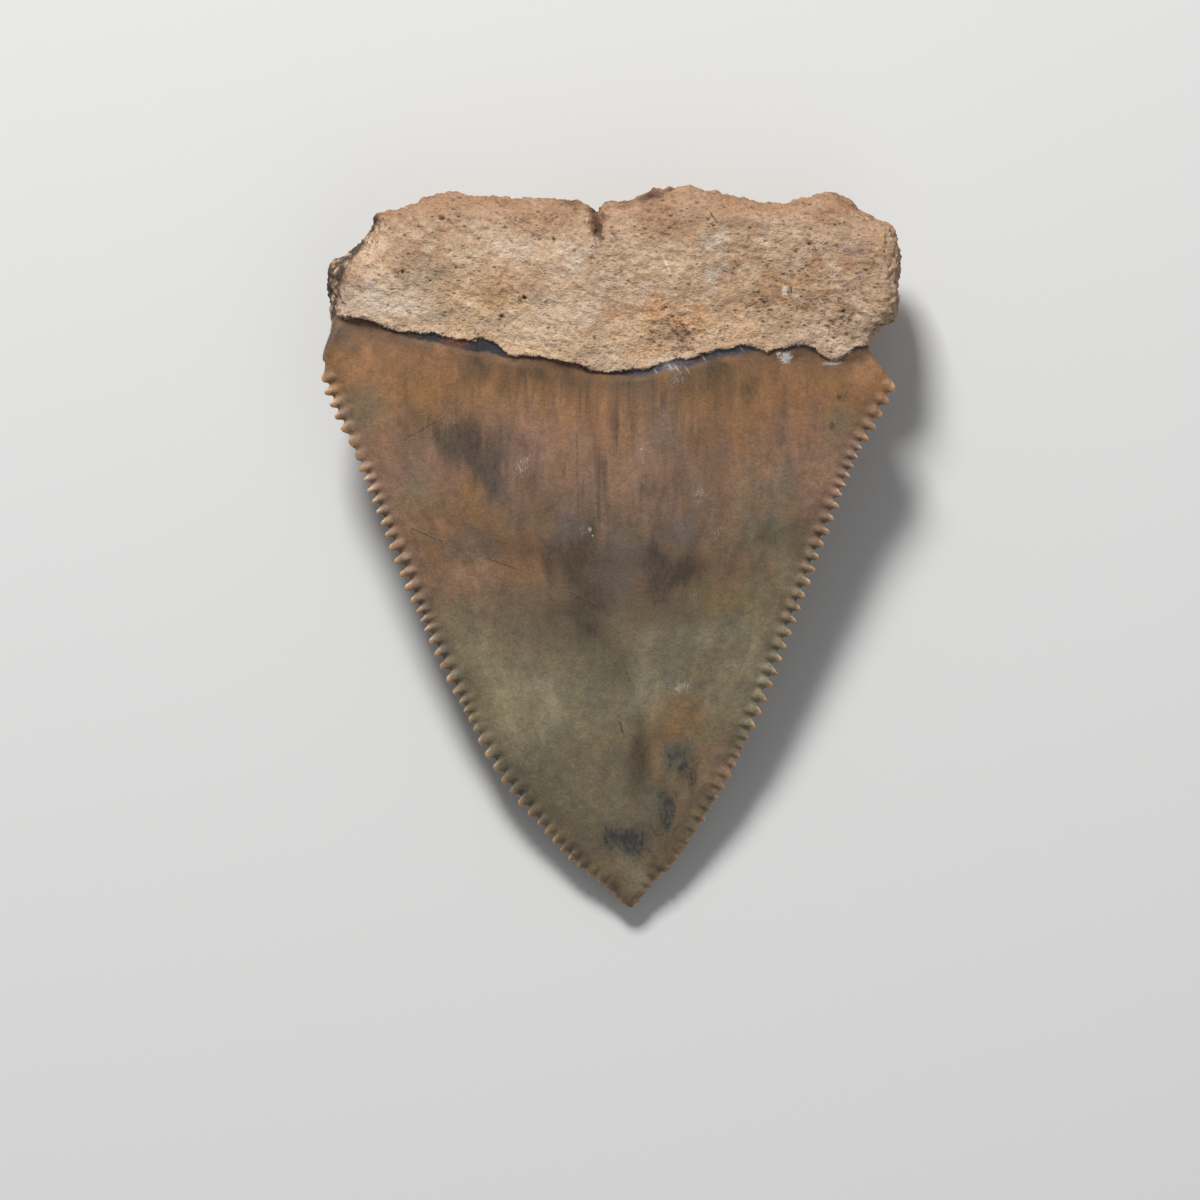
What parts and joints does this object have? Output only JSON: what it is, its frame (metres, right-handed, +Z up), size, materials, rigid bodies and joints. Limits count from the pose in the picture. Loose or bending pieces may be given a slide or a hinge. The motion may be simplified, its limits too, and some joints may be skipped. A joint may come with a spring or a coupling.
{
  "type": "fossil shark tooth",
  "caption": "Triangular fossil shark tooth with serrated cutting edges, a flat outer face and a worn, porous root, lying on its domed inner face.",
  "frame": {"origin": "centre of the footprint, on the table under the tooth", "axes": "+Z up out of the flat outer face, the tip along -Y, the root at +Y, +X to the right as seen from above"},
  "size_m": [0.0416, 0.0522, 0.0095],
  "materials": {
    "fossil_tooth": "satin enamel crown, matt porous root"
  },
  "bodies": {
    "root": {"shark_tooth": "fossil_tooth"}
  },
  "joints": []
}
